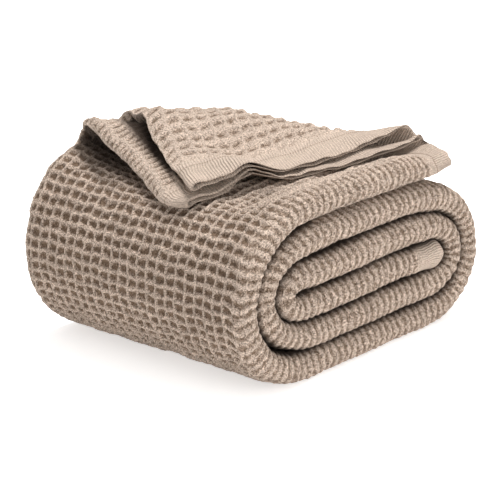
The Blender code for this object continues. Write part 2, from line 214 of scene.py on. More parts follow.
# What all lengths and all colours in the panel have in common
LENGTH = {"min": 0.0, "subtype": "DISTANCE", "unit": "LENGTH"}
COLOUR = {"min": 0.0, "max": 1.0, "subtype": "COLOR_GAMMA"}


class BlanketSizes(bpy.types.PropertyGroup):
    """Sizes of the weave that a user would change."""

    ridge_height: FloatProperty(
        name="Ridge height", description="Height of the thin ridges that run along the strip",
        default=0.0018, max=0.004, **LENGTH)
    ridge_width: FloatProperty(
        name="Ridge width", description="Half width of a thin ridge as a share of a cell",
        default=0.105, min=0.02, max=0.5)
    cross_height: FloatProperty(
        name="Cross ridge height", description="Height of the broad ridges across the strip",
        default=0.0002, max=0.004, **LENGTH)
    cross_width: FloatProperty(
        name="Cross ridge width", description="Half width of a cross ridge as a share of a cell",
        default=0.41, min=0.02, max=0.5)
    pit_depth: FloatProperty(
        name="Pit depth", description="Depth of the waffle's pits below the cloth's face",
        default=0.0028, max=0.005, **LENGTH)
    unevenness: FloatProperty(
        name="Unevenness", description="How much the cells differ from one another",
        default=0.30, min=0.0, max=1.0)
    stitch_length: FloatProperty(
        name="Stitch length", description="Length of one hem stitch",
        default=0.0026, min=0.001, max=0.01, subtype="DISTANCE", unit="LENGTH")
    stitch_width: FloatProperty(
        name="Stitch width", description="Thickness of the hem thread, more than real so that it shows",
        default=0.0010, min=0.0002, max=0.003, subtype="DISTANCE", unit="LENGTH")
    seed: IntProperty(name="Seed", description="Seed of the cloth's unevenness", default=7, min=0)


class BlanketColours(bpy.types.PropertyGroup):
    """Colours that a user would change, as they are seen."""

    cloth: FloatVectorProperty(
        name="Cloth", description="Colour of the raised yarns", default=(0.733, 0.662, 0.603), **COLOUR)
    # The pits' colour is painted shade: darker than the cloth for the shade deep in the waffle's pits.
    pit_shade: FloatVectorProperty(
        name="Pits", description="Colour deep in the waffle's pits", default=(0.44, 0.362, 0.298), **COLOUR)
    thread: FloatVectorProperty(
        name="Thread", description="Colour of the hem stitches", default=(0.55, 0.475, 0.41), **COLOUR)
    floor: FloatVectorProperty(
        name="Floor", description="Colour of the studio floor", default=(0.965, 0.965, 0.965), **COLOUR)


def linear(colour):
    """Turn a colour as it is seen into the linear one that a shader takes."""
    parts = [c / 12.92 if c <= 0.04045 else ((c + 0.055) / 1.055) ** 2.4 for c in colour]
    return (*parts, 1.0)


def smooth_step(low, high, value):
    """Ease from 0 at low to 1 at high."""
    share = np.clip((value - low) / (high - low), 0.0, 1.0)
    return share * share * (3.0 - 2.0 * share)


# The roll's shape

def even_out(line, spacing=0.001, width=0.0055):
    """Space the points of a line evenly and round off its small kinks."""
    step = np.diff(line[:, :2], axis=0)
    distance = np.concatenate(([0.0], np.cumsum(np.hypot(*step.T))))
    even = np.arange(0.0, distance[-1], spacing)
    reach = int(4 * width / spacing)
    weights = np.exp(-0.5 * (np.arange(-reach, reach + 1) * spacing / width) ** 2)
    weights /= weights.sum()
    columns = []
    for column in line.T:
        values = np.interp(even, distance, column)
        before = 2 * values[0] - values[reach:0:-1]
        after = 2 * values[-1] - values[-2:-reach - 2:-1]
        columns.append(np.convolve(np.concatenate((before, values, after)), weights, "valid"))
    return np.stack(columns, axis=1)


def sample_centre_line(steps=24):
    """Return distance, x, z, heading and half thickness at close points of the roll."""
    table = np.array(CENTRE_LINE) / 1000.0
    chord = np.hypot(*np.diff(table[:, :2], axis=0).T)
    knots = np.concatenate(([0.0], np.cumsum(np.sqrt(chord))))
    slopes = np.gradient(table, knots, axis=0)
    rows = []
    for i in range(len(table) - 1):
        span = knots[i + 1] - knots[i]
        last = i == len(table) - 2
        for t in np.linspace(0.0, 1.0, steps, endpoint=last):
            rows.append(
                (2 * t**3 - 3 * t**2 + 1) * table[i]
                + (t**3 - 2 * t**2 + t) * span * slopes[i]
                + (3 * t**2 - 2 * t**3) * table[i + 1]
                + (t**3 - t**2) * span * slopes[i + 1]
            )
    line = even_out(np.array(rows))
    step = np.diff(line[:, :2], axis=0)
    distance = np.concatenate(([0.0], np.cumsum(np.hypot(*step.T))))
    heading = np.unwrap(np.arctan2(step[:, 1], step[:, 0]))
    heading = np.interp(distance, (distance[1:] + distance[:-1]) / 2, heading)
    return distance, line[:, 0], line[:, 1], heading, line[:, 2]


DISTANCE, LINE_X, LINE_Z, HEADING, HALF = sample_centre_line()
STRIP_LENGTH = float(DISTANCE[-1])
TOP_START = DISTANCE[np.nonzero(LINE_Z > 0.17)[0][0]]
TOP_ZERO = float(np.interp(0.0, LINE_X[DISTANCE > TOP_START], DISTANCE[DISTANCE > TOP_START]))


def fold_frame(turn):
    """Return the fold line's start, its unit direction, its length and its outward side."""
    start = np.array(turn["right"])
    along = np.array(turn["back"]) - start
    length = float(np.hypot(*along))
    along = along / length
    return start, along, length, np.array((along[1], -along[0]))


def distance_past_fold(x, y, turn):
    """Return how far a place lies past a fold line."""
    start, _, _, out = fold_frame(turn)
    return (x - start[0]) * out[0] + (y - start[1]) * out[1]


def back_ease(y):
    """Ease from 0 inside the cloth to 1 at its back folds."""
    return smooth_step(0.085, 0.150, y)


def shoulder_rise(x, y):
    """Return how far the top layer stands off the one below at the back left."""
    return SHOULDER_RISE * np.exp(-((x + 0.125) / 0.05) ** 2) * smooth_step(0.0, 0.155, y)


def hem_thinning(x, y):
    """Return how much thinner the strip gets towards its outer hem."""
    less = (1.0 - HEM_SHARE) * (1.0 - 0.75 * back_ease(y))
    return 1.0 - less * smooth_step(HEM_X - 2.6 * HEM_BAND, HEM_X, x)


def top_share(x, y):
    """Return the share of the full thickness that the top layer keeps at a place."""
    front = 1.0 - smooth_step(-0.150, -0.088, y)
    back = back_ease(y)
    share = TOP_SHARE_MIDDLE + (1.0 - TOP_SHARE_MIDDLE) * front
    share = (share + (TOP_SHARE_BACK - TOP_SHARE_MIDDLE) * back) * hem_thinning(x, y)
    return 1.0 + (share - 1.0) * smooth_step(-0.17, -0.11, x)


def opening(share, column):
    """Return the half height inside a turn at a share of its fold line."""
    table = np.array(TURN_OPENING)
    near = [np.interp(share + step, table[:, 0], table[:, column]) for step in (-0.04, 0.0, 0.04)]
    return sum(near) / 3 / 1000.0


def flap_wave(x, y, wave):
    """Return how far the turned corner stands up from the layer below it."""
    hem_rise = wave * np.exp(-((x + 0.095) / 0.024) ** 2 - ((y + 0.075) / 0.05) ** 2)
    edge_rise = EDGE_RISE * smooth_step(-0.02, 0.08, y) * (1.0 - smooth_step(-0.09, -0.02, x))
    return (hem_rise + edge_rise) * smooth_step(0.0, 0.05, -distance_past_fold(x, y, UPPER_TURN))


def hem_lift(x, y):
    """Return how far the end of the top layer curls up behind its front corner."""
    return HEM_LIFT * smooth_step(0.085, 0.150, x) * smooth_step(-0.162, -0.118, y)


def edge_line(y):
    """Return where the lower turned layer's left edge lies at a place across."""
    back, tip = LOWER_TURN["back"], LOWER_TURN["tip"]
    return back[0] + (tip[0] - back[0]) * (back[1] - y) / (back[1] - tip[1])


def turn_corner(x, y, n, thick, turn, inner_face, rest, gap):
    """Bend the flat cloth past a fold line and lay it back over the strip.

    n is the height from the strip's middle, thick is the share of its thickness that
    the cloth keeps, inner_face is the height of the layer's face inside the bend, and
    rest is the thickness that lies under the turned layer.
    The result is x, y and the height from the top of the strip.
    """
    start, along, length, out = fold_frame(turn)
    side = distance_past_fold(x, y, turn)
    share = ((x - start[0]) * along[0] + (y - start[1]) * along[1]) / length
    depth = (STRIP_HALF - inner_face) * thick
    thicker = TOP_SHARE_BACK - TOP_SHARE_MIDDLE
    crest_share = TOP_SHARE_MIDDLE + thicker * smooth_step(0.65, 0.9, share)
    crest = 2 * opening(share, turn["column"]) + rest * crest_share + gap
    radius = (crest + depth) / 2
    bend = math.pi * radius

    corner = np.array(turn["corner"])
    tip = np.array(turn["tip"])
    corner_share = float((corner - start) @ along) / length
    foot = start + along * corner_share * length
    reach = float((foot - tip) @ out)
    slide = float((tip - foot) @ along) / reach
    corner_side = float((corner - start) @ out)
    corner_radius = opening(corner_share, turn["column"]) + rest * TOP_SHARE_BACK
    stretch = (reach + math.pi * corner_radius) / corner_side

    run = side * stretch
    angle = np.clip(run / radius, 0.0, math.pi)
    past = np.maximum(run - bend, 0.0)
    forward = radius * np.sin(angle) - past
    height = -depth + radius * (1.0 - np.cos(angle))
    sideways = slide * past * past / (past + 0.01)
    landed_x = start[0] + along[0] * (share * length + sideways) - out[0] * past
    landed_y = start[1] + along[1] * (share * length + sideways) - out[1] * past
    inward = landed_x - edge_line(landed_y)
    under = TOP_SHARE_BACK - thicker * smooth_step(0.070, 0.115, inward)
    fall = crest - (rest * under * hem_thinning(x - 0.020, y) + gap)
    foot_x = start[0] + along[0] * share * length
    foot_y = start[1] + along[1] * share * length
    lag = np.maximum(distance_past_fold(foot_x, foot_y, LOWER_TURN), 0.0)
    settle = np.clip((past - lag) / SETTLE_LENGTH, 0.0, 1.0)
    height = height - fall * 0.5 * (1.0 - np.cos(math.pi * settle))
    slope = fall * 0.5 * math.pi / SETTLE_LENGTH * np.sin(math.pi * settle)
    angle = angle + np.arctan(slope)
    offset = (inner_face - n) * thick
    forward = forward + offset * np.sin(angle)
    height = height - offset * np.cos(angle)
    new_x = start[0] + along[0] * (share * length + sideways) + out[0] * forward
    new_y = start[1] + along[1] * (share * length + sideways) + out[1] * forward
    belly = np.sin(math.pi * np.clip(past / reach, 0.0, 1.0) ** turn["bow"]) * smooth_step(0.0, 0.155, y)
    new_x = new_x - turn["bulge"] * belly
    height = height + np.where(past > 0, flap_wave(new_x, new_y, turn["wave"]), 0.0)
    height = height + hem_lift(foot_x, foot_y) * (1.0 - smooth_step(0.0, 0.06, past))
    clear = np.exp(-((new_x + 0.078) / 0.035) ** 2 - ((new_y - 0.060) / 0.040) ** 2)
    height = height + turn["lift"] * clear * smooth_step(0.0, 0.02, past)
    return side > 0, new_x, new_y, height


def wind(distance, y, n):
    """Carry points of the strip to their place in the roll."""
    x = np.interp(distance, DISTANCE, LINE_X)
    z = np.interp(distance, DISTANCE, LINE_Z)
    heading = np.interp(distance, DISTANCE, HEADING)
    past = np.maximum(distance - STRIP_LENGTH, 0.0)
    x = x + past * np.cos(heading) - n * np.sin(heading)
    z = z + past * np.sin(heading) + n * np.cos(heading)
    taper = 1.0 - BACK_TAPER * (y - FRONT_Y) / ROLL_LENGTH
    return np.stack((x * taper - ROLL_MIDDLE[0], y - ROLL_MIDDLE[1], z), axis=1)


def place_cloth(distance, y, n):
    """Move the folded strip's points into the roll, with its outer corner turned."""
    x = distance - TOP_ZERO
    half = np.interp(distance, DISTANCE, HALF)
    on_top = x > -0.20

    lower_end = LOWER_TURN["corner"][0] - LOWER_TURN["right"][0]
    upper_end = UPPER_TURN["corner"][0] - UPPER_TURN["right"][0]
    across = smooth_step(-0.10, 0.155, y)
    beyond = np.where(n < 0, 0.014 + upper_end * across, lower_end * across)
    at_front = 1.0 - smooth_step(-0.156, -0.134, y)
    beyond = beyond * (1 - at_front) + at_front * 0.004 * (1.0 - np.clip(n / STRIP_HALF, -1, 1))
    beyond = beyond - 0.007 * smooth_step(-0.145, -0.156, y)
    thick = np.where(on_top, top_share(x, y), 1.0)
    share = thick * half / STRIP_HALF
    height = -half + (n + STRIP_HALF) * share + np.where(on_top, hem_lift(x, y), 0.0)
    x = x + beyond * smooth_step(0.0, HEM_X, x)

    lower = turn_corner(x, y, n, thick, LOWER_TURN, STRIP_HALF, 0.0, FLAP_GAP)
    upper_rest = STRIP_HALF - PARTING / 2
    upper = turn_corner(x, y, n, thick, UPPER_TURN, -PARTING / 2, upper_rest, FLAP_GAP + LAYER_GAP)
    for turned, side in ((lower, n > 0), (upper, n < 0)):
        past_fold, new_x, new_y, above = turned
        moved = on_top & side & past_fold & (y > FLAP_FRONT)
        top = -half + 2 * half * top_share(new_x, new_y)
        x = np.where(moved, new_x, x)
        y = np.where(moved, new_y, y)
        height = np.where(moved, top + above, height)
    height = height + np.where(on_top, shoulder_rise(x, y), 0.0)
    return wind(x + TOP_ZERO, y, height)


# The cloth, laid out by its right side and folded in four

PLY_RUN = BACK_CENTRE - SELVEDGE_Y
BACK_RUN = math.pi * (BACK_RADIUS + PLY / 2)
FACE_RUN = BACK_CENTRE - FRONT_CENTRE
FRONT_RUN = math.pi * (OUTER + PLY / 2)
FACE_START = PLY_RUN + BACK_RUN
FRONT_START = FACE_START + FACE_RUN
CLOTH_WIDTH = 2 * FRONT_START + FRONT_RUN
CELL_LENGTH = STRIP_LENGTH / CELLS_ALONG
CELL_WIDTH = CLOTH_WIDTH / CELLS_ACROSS


def fold_across(v, side):
    """Return y and the height from the strip's middle at a place across the cloth.

    v runs across the cloth's right side, and side is 1 on that side and -1 on the other.
    """
    far = v > CLOTH_WIDTH / 2
    w = np.where(far, CLOTH_WIDTH - v, v)
    half = side * PLY / 2
    back_angle = (w - PLY_RUN) / (BACK_RADIUS + PLY / 2) - math.pi / 2
    front_angle = math.pi / 2 + (w - FRONT_START) / (OUTER + PLY / 2)
    y = np.select(
        [w <= PLY_RUN, w <= FACE_START, w <= FRONT_START],
        [SELVEDGE_Y + w,
         BACK_CENTRE + (BACK_RADIUS + half) * np.cos(back_angle),
         BACK_CENTRE - (w - FACE_START)],
        FRONT_CENTRE + (OUTER + half) * np.cos(front_angle))
    n = np.select(
        [w <= PLY_RUN, w <= FACE_START, w <= FRONT_START],
        [INNER - half,
         (INNER + OUTER) / 2 + (BACK_RADIUS + half) * np.sin(back_angle),
         OUTER + half],
        (OUTER + half) * np.sin(front_angle))
    return y, np.where(far, -n, n)


def from_end(u):
    """Return how far a place lies from the nearer short end of the cloth."""
    return np.minimum(u, STRIP_LENGTH - u)


def from_edge(v):
    """Return how far a place lies from the nearer long edge of the cloth."""
    return np.minimum(v, CLOTH_WIDTH - v)


def cloth_point(u, v, side):
    """Return where a place on the cloth lies in the finished roll."""
    near = np.clip(1.0 - np.minimum(from_end(u), from_edge(v)) / EDGE_ROUND, 0.0, 1.0)
    hem = STRIP_LENGTH - HEM_BAND
    thin = 1.0 - HEM_FLATNESS * smooth_step(hem - 0.008, hem + 0.012, u)
    y, n = fold_across(v, side * thin * np.sqrt(1.0 - 0.92 * near * near))
    # The inner end is blunt and a little fuller than the strip
    inner = np.clip(1.0 - u / INNER_END_ROUND, 0.0, 1.0)
    bluntness = np.sqrt(1.0 - 0.75 * inner * inner)
    y = y + 0.010 * (1.0 - bluntness) * smooth_step(-0.10, -0.15, y)
    n = n * (0.35 + 0.65 * bluntness) * (1.0 + 0.5 * smooth_step(0.03, 0.0, u))
    return place_cloth(u, y, n)


def relief_at(u, v):
    """Return how strong the waffle is: none in the hem bands, all of it inside them."""
    ends = np.minimum(u - 0.012, STRIP_LENGTH - u)
    return smooth_step(HEM_BAND - 0.002, HEM_BAND + 0.012, ends) * smooth_step(0.003, 0.008, from_edge(v))


def looseness_at(u, v):
    """Return how loose the weave lies: 1 on the turned corner, less on the roll's top, 0 elsewhere."""
    y, n = fold_across(v, 1.0)
    upper = distance_past_fold(u - TOP_ZERO, y, UPPER_TURN)
    lower = distance_past_fold(u - TOP_ZERO, y, LOWER_TURN)
    turned = smooth_step(-0.02, 0.03, np.where(n < 0, upper, lower)) * (u > STRIP_LENGTH - 0.45)
    top = smooth_step(TOP_ZERO - 0.15, TOP_ZERO - 0.04, u) * (n > 0) * (1.0 - front_fold_at(v))
    return np.maximum(turned, 0.75 * top)


def front_fold_at(v):
    """Return 1 in the big round fold along the front end of the roll and 0 away from it."""
    return smooth_step(FRONT_START - 0.010, FRONT_START + 0.008, from_edge(v))


def outermost(u, v):
    """Tell which places lie on the outside of the roll or on its top layer."""
    return ((v < CLOTH_WIDTH / 2) & (u > STRIP_LENGTH - 1.13)) | (u > TOP_ZERO - 0.16)


def left_edge(turn, y, bow):
    """Return where the left edge of a turned layer lies at a place across."""
    back, tip = turn["back"], turn["tip"]
    share = np.clip((back[1] - y) / (back[1] - tip[1]), 0.0, 1.0)
    return back[0] + (tip[0] - back[0]) * share - bow * np.sin(math.pi * share)


def painted_shade_at(u, v):
    """Return how much painted shade a place gets, from 0 to 1: between the turns, and on the roll's top
    beside and under the turned corner.
    """
    w = from_edge(v)
    spot = cloth_point(u, v, 1.0)
    x, y = spot[:, 0] + ROLL_MIDDLE[0], spot[:, 1] + ROLL_MIDDLE[1]
    n = fold_across(v, 1.0)[1]
    on_top = (u > TOP_ZERO - 0.24) & (spot[:, 2] > 0.12)

    # Painted shade between the turns, behind the front fold, and on the edges that are folded in
    deep = smooth_step(0.0, 0.0085, FRONT_START + 0.0125 - w) * smooth_step(-0.003, 0.006, w - FACE_START)
    deep = np.maximum(deep, 1.0 - smooth_step(PLY_RUN - 0.006, PLY_RUN + 0.003, w))
    deep = np.where(outermost(u, v), 0.0, deep)

    # Painted shadow on the roll's top, beside the corner's left edge and under the hump of its hem
    beside = left_edge(LOWER_TURN, y, 0.018) - x
    edge_painted_shadow = np.exp(-(np.maximum(beside, 0.0) / 0.007) ** 2) * smooth_step(0.02, 0.12, y)
    bump_painted_shadow = np.exp(-((x + 0.088) / 0.017) ** 2 - ((y + 0.086) / 0.009) ** 2)
    deep = np.where(on_top & (n > OUTER), np.maximum(0.8 * edge_painted_shadow, 0.45 * bump_painted_shadow), deep)

    # Painted shade between the corner's own layers, up to the open hem
    open_end = 1.0 - smooth_step(STRIP_LENGTH - 0.064, STRIP_LENGTH - 0.036, u)
    under_corner = smooth_step(0.004, 0.017, x - left_edge(UPPER_TURN, y, 0.006))
    folded_in = (w < PLY_RUN + 0.004) & on_top
    deep = np.where(folded_in & (n > 0), under_corner * open_end, deep)
    return np.where(folded_in & (n < 0), 0.95 * open_end, deep)


def swell_at(u, v):
    """Return the soft troughs and ridges that the hands left in the cloth, in metres."""
    total = 0.00045 * np.sin(u * 97 + 1.3) * np.sin(v * 83 + 0.4)
    total = total + 0.00035 * np.sin(u * 61 - v * 149 + 2.1) + 0.0003 * np.sin(u * 173 + v * 71)
    for at, across, length, width, turn, height in CREASES:
        c, s = math.cos(math.radians(turn)), math.sin(math.radians(turn))
        lengthways = ((u - at) * c + (v - across) * s) / (length / 1000)
        sideways = ((v - across) * c - (u - at) * s) / (width / 1000)
        total = total + height / 1000 * np.exp(-lengthways**2 - sideways**2)
    ends = from_end(u)
    total = total * smooth_step(0.0, 0.02, ends)
    # The front fold is a little fuller than the solid, and less so on the outside of the roll
    w = from_edge(v)
    full = FOLD_FULLNESS * np.exp(-((w - FRONT_START - 0.004) / 0.0105) ** 2) * smooth_step(0.0, 0.03, ends)
    total = total + np.where(outermost(u, v), 0.25, 1.0) * full
    # Slow waves and small ripples along the hem
    wave = smooth_step(0.045, 0.0, STRIP_LENGTH - u) * np.sin(v * 95 + 0.9 * np.sin(v * 41))
    ripple = smooth_step(0.022, 0.0, STRIP_LENGTH - u) * np.sin(v * 260 + 2.0 * np.sin(v * 33))
    return total + 0.0008 * wave + 0.0007 * ripple


def wander(u, v):
    """Shift the weave a little within the cloth, as yarns do."""
    inside = smooth_step(0.0, 0.03, from_end(u)) * smooth_step(0.0, 0.02, from_edge(v))
    along = 0.0007 * np.sin(v * 173 + 3 * np.sin(u * 19)) + 0.0005 * np.sin(v * 397 + u * 211)
    across = 0.0007 * np.sin(u * 157 + 2 * np.sin(v * 29)) + 0.0004 * np.sin(u * 431 - v * 187)
    from_front = v - CLOTH_WIDTH / 2
    lean = (0.0026 * np.sin(from_front * 52) + 0.0016 * np.cos(from_front * 104)) * front_fold_at(v)
    return u + (along + lean) * inside, v + across * inside


def cell_detail(quick):
    """Choose the step between marks in each waffle cell: 1 or 2 where it shows, 8 where it is hidden."""
    u = (np.arange(CELLS_ALONG) + 0.5) * CELL_LENGTH
    v = (np.arange(CELLS_ACROSS) + 0.5) * CELL_WIDTH
    u, v = (grid.ravel() for grid in np.meshgrid(u, v, indexing="ij"))
    y, n = fold_across(v, 1.0)
    spot = cloth_point(u, v, 1.0)
    x = u - TOP_ZERO
    w = from_edge(v)
    top = x > -0.17
    past_lower = distance_past_fold(x, y, LOWER_TURN)
    past_upper = distance_past_fold(x + 0.02, y, UPPER_TURN)

    step = np.full(u.shape, STEPS)
    front = w > FRONT_START - 0.5 * CELL_WIDTH
    step[front] = 1
    step[(w > FRONT_START - 1.6 * CELL_WIDTH) & ~front] = 2
    step[(w > PLY_RUN - 0.6 * CELL_WIDTH) & (w < FACE_START + 0.8 * CELL_WIDTH)] = 2
    face = (w > PLY_RUN) & (n > 0) & (u > STRIP_LENGTH - 1.12) & (spot[:, 2] > 0.002)
    under = face & top & (past_lower > 0.012)
    step[face & ~under] = 1
    step[under & (w > FACE_START + CELL_WIDTH)] = STEPS
    flap = (w > PLY_RUN - CELL_WIDTH) & (n < 0) & top & (past_upper > -0.015)
    step[flap & (n < -PARTING)] = 1
    lower_flap = (w < FACE_START) & (n > 0) & top & (past_lower > -0.004)
    rim = (u > STRIP_LENGTH - 0.055) | (w > PLY_RUN - 0.055)
    step[lower_flap & rim] = 1
    inside_end = (w < FACE_START) & (n < 0) & (u > STRIP_LENGTH - 0.05)
    step[inside_end] = 2
    inner_tip = (u < 0.05) & (w > FRONT_START - 0.05)
    step[inner_tip] = 1
    step = step.reshape(CELLS_ALONG, CELLS_ACROSS)
    if quick:
        step = np.where(step < STEPS, np.minimum(step * 2, 4), step)
    return step


def lay_side(first, last, detail, base):
    """List the marks and faces of one side of a length of the cloth.

    A hidden cell is one face that takes in the marks of its finer neighbours.
    The result is the marks, where each is in the mesh, the faces and a way to list a line.
    """
    place = {}
    for i in range(first, last):
        for j in range(CELLS_ACROSS):
            step = int(detail[i, j])
            for a in range(i * STEPS, (i + 1) * STEPS + 1, step):
                for b in range(j * STEPS, (j + 1) * STEPS + 1, step):
                    place.setdefault((a, b), base + len(place))

    def line(fixed, start, end, lengthways):
        direction = 1 if end > start else -1
        keys = ((at, fixed) if lengthways else (fixed, at) for at in range(start, end, direction))
        return [place[key] for key in keys if key in place]

    faces = []
    for i in range(first, last):
        for j in range(CELLS_ACROSS):
            step = int(detail[i, j])
            for a in range(i * STEPS, (i + 1) * STEPS, step):
                for b in range(j * STEPS, (j + 1) * STEPS, step):
                    face = line(a, b, b + step, False) + line(b + step, a, a + step, True)
                    face += line(a + step, b + step, b, False) + line(b, a + step, a, True)
                    faces.append(face)
    return list(place), place, faces, line


def cloth_mesh(name, first, last, detail):
    """Make one length of the folded cloth: a fine right side, a plain wrong side and its rims."""
    right, right_place, faces, right_line = lay_side(first, last, detail, 0)
    base = len(right)
    plain = np.full(detail.shape, STEPS)
    plain[CELLS_ALONG - 4:] = np.where(detail[CELLS_ALONG - 4:] < STEPS, 4, STEPS)
    wrong, wrong_place, wrong_faces, wrong_line = lay_side(first, last, plain, base)
    faces += [face[::-1] for face in wrong_faces]
    rims = len(faces)
    start, end, far = first * STEPS, last * STEPS, CELLS_ACROSS * STEPS
    for j in range(CELLS_ACROSS):
        low, high = j * STEPS, (j + 1) * STEPS
        for at, a, b in ((end, low, high), (start, high, low)):
            face = right_line(at, a, b, False) + [right_place[at, b]]
            faces.append(face + wrong_line(at, b, a, False) + [wrong_place[at, a]])
    for i in range(first, last):
        low, high = i * STEPS, (i + 1) * STEPS
        for at, a, b in ((0, low, high), (far, high, low)):
            face = right_line(at, a, b, True) + [right_place[b, at]]
            faces.append(face + wrong_line(at, b, a, True) + [wrong_place[a, at]])

    marks = np.array(right + wrong)
    along = marks[:, 0] // STEPS + np.array(ALONG_CUTS)[marks[:, 0] % STEPS]
    across = marks[:, 1] // STEPS + np.array(ACROSS_CUTS)[marks[:, 1] % STEPS]
    u, v = wander(along * CELL_LENGTH, across * CELL_WIDTH)
    side = np.where(np.arange(len(marks)) < base, 1.0, -1.0)
    points = cloth_point(u, v, side)
    outward = face_direction(u, v)
    points[:, 2] = np.maximum(points[:, 2], ABOVE_FLOOR)

    mesh = bpy.data.meshes.new(name)
    mesh.from_pydata(points.tolist(), [], faces)
    mesh.shade_smooth()
    on_right = side > 0
    in_hem = u > STRIP_LENGTH - 0.045
    store(mesh, "face_out", outward, "FLOAT_VECTOR")
    store(mesh, "cell_along", along)
    store(mesh, "cell_across", across)
    store(mesh, "relief", relief_at(u, v) * on_right)
    store(mesh, "swell", swell_at(u, v) * (on_right | in_hem))
    store(mesh, "loose", looseness_at(u, v))
    store(mesh, "fold", front_fold_at(v))
    # Painted shade on the wrong side, which lies deep between the plies, but not where it shows at the open
    # hem
    inside = 0.9 - 0.86 * smooth_step(STRIP_LENGTH - 0.036, STRIP_LENGTH - 0.010, u)
    store(mesh, "painted_shade", np.where(on_right, painted_shade_at(u, v), inside))
    layer = mesh.uv_layers.new(name="Cloth")
    corner = np.empty(len(mesh.loops), dtype=np.int32)
    mesh.loops.foreach_get("vertex_index", corner)
    flat = np.stack((across * CELL_WIDTH, along * CELL_LENGTH), axis=1)
    layer.data.foreach_set("uv", flat[corner].ravel())
    splits = [k for k, edge in ((1, start), (0, end)) if 0 < edge < CELLS_ALONG * STEPS]
    mark_caps(mesh, rims, splits)
    return mesh


def mark_caps(mesh, rims, splits):
    """Keep the hidden cut faces between two lengths of the cloth out of its shading."""
    sharp = np.zeros(len(mesh.edges), dtype=bool)
    for odd in splits:
        for k in range(CELLS_ACROSS):
            polygon = mesh.polygons[rims + 2 * k + odd]
            for loop in polygon.loop_indices:
                sharp[mesh.loops[loop].edge_index] = True
    mesh.attributes.new("sharp_edge", "BOOLEAN", "EDGE").data.foreach_set("value", sharp)


def face_direction(u, v):
    """Return the direction that the cloth's right side faces."""
    reach = 0.0012
    ahead = np.minimum(u + reach, STRIP_LENGTH - EDGE_ROUND)
    behind = np.maximum(np.minimum(u - reach, STRIP_LENGTH - EDGE_ROUND - reach), EDGE_ROUND)
    ahead = np.maximum(ahead, EDGE_ROUND + reach)
    left = np.clip(v - reach, EDGE_ROUND, CLOTH_WIDTH - EDGE_ROUND - reach)
    right = np.clip(v + reach, EDGE_ROUND + reach, CLOTH_WIDTH - EDGE_ROUND)
    lengthways = cloth_point(ahead, v, 1.0) - cloth_point(behind, v, 1.0)
    crossways = cloth_point(u, right, 1.0) - cloth_point(u, left, 1.0)
    outward = np.cross(crossways, lengthways)
    size = np.linalg.norm(outward, axis=1, keepdims=True)
    return outward / np.maximum(size, 1e-12)


def store(mesh, name, values, kind="FLOAT"):
    """Keep values on the mesh's points for its nodes to read."""
    attribute = mesh.attributes.new(name, kind, "POINT")
    field = "vector" if kind == "FLOAT_VECTOR" else "value"
    attribute.data.foreach_set(field, np.ascontiguousarray(values, dtype=np.float32).ravel())


# Node trees

def add(tree, kind, settings=None, **links):
    """Add a node, set its settings, and link or fill its named or numbered inputs."""
    node = tree.nodes.new(kind)
    for name, value in (settings or {}).items():
        setattr(node, name, value)
    for name, value in links.items():
        place = int(name[1:]) if name[0] == "i" and name[1:].isdigit() else name.replace("_", " ")
        socket = node.inputs[place]
        if isinstance(value, bpy.types.NodeSocket):
            tree.links.new(value, socket)
        else:
            socket.default_value = value
    return node


def maths(tree, operation, *values):
    """Add a maths node and return its result."""
    links = {f"i{k}": value for k, value in enumerate(values)}
    return add(tree, "ShaderNodeMath", {"operation": operation}, **links).outputs[0]


def sums(tree):
    """Return short ways to multiply, add and subtract in a tree."""
    return [functools.partial(maths, tree, name) for name in ("MULTIPLY", "ADD", "SUBTRACT")]


def unevenness(tree, seed, scale, detail):
    """Return noise about zero."""
    node = add(tree, "ShaderNodeTexNoise", {"noise_dimensions": "4D"}, W=seed, Scale=scale, Detail=detail)
    return maths(tree, "SUBTRACT", node.outputs[0], 0.5)


def profile(tree, distance, width):
    """Return a round ridge: 1 on its crest and 0 past its half width."""
    smooth = {"interpolation_type": "SMOOTHSTEP"}
    return add(tree, "ShaderNodeMapRange", smooth, i0=distance, i1=0.0, i2=width, i3=1.0, i4=0.0).outputs[0]


def new_tree(name, *labels):
    """Start a node tree for a mesh with named inputs for its sizes and its material."""
    tree = bpy.data.node_groups.new(name, "GeometryNodeTree")
    tree.interface.new_socket("Geometry", in_out="INPUT", socket_type="NodeSocketGeometry")
    for label in labels:
        kind = {"Seed": "NodeSocketInt", "Material": "NodeSocketMaterial"}.get(label, "NodeSocketFloat")
        tree.interface.new_socket(label, in_out="INPUT", socket_type=kind)
    tree.interface.new_socket("Geometry", in_out="OUTPUT", socket_type="NodeSocketGeometry")
    return tree, tree.nodes.new("NodeGroupInput").outputs


def read(tree, name, kind="FLOAT"):
    """Read a value that is stored on the mesh."""
    node = add(tree, "GeometryNodeInputNamedAttribute", {"data_type": kind})
    node.inputs["Name"].default_value = name
    return node.outputs[0]


def finish_tree(tree, geometry, material):
    """End a node tree with real geometry in its material."""
    real = add(tree, "GeometryNodeRealizeInstances", i0=geometry).outputs[0]
    painted = add(tree, "GeometryNodeSetMaterial", i0=real, Material=material).outputs[0]
    tree.links.new(painted, tree.nodes.new("NodeGroupOutput").inputs[0])


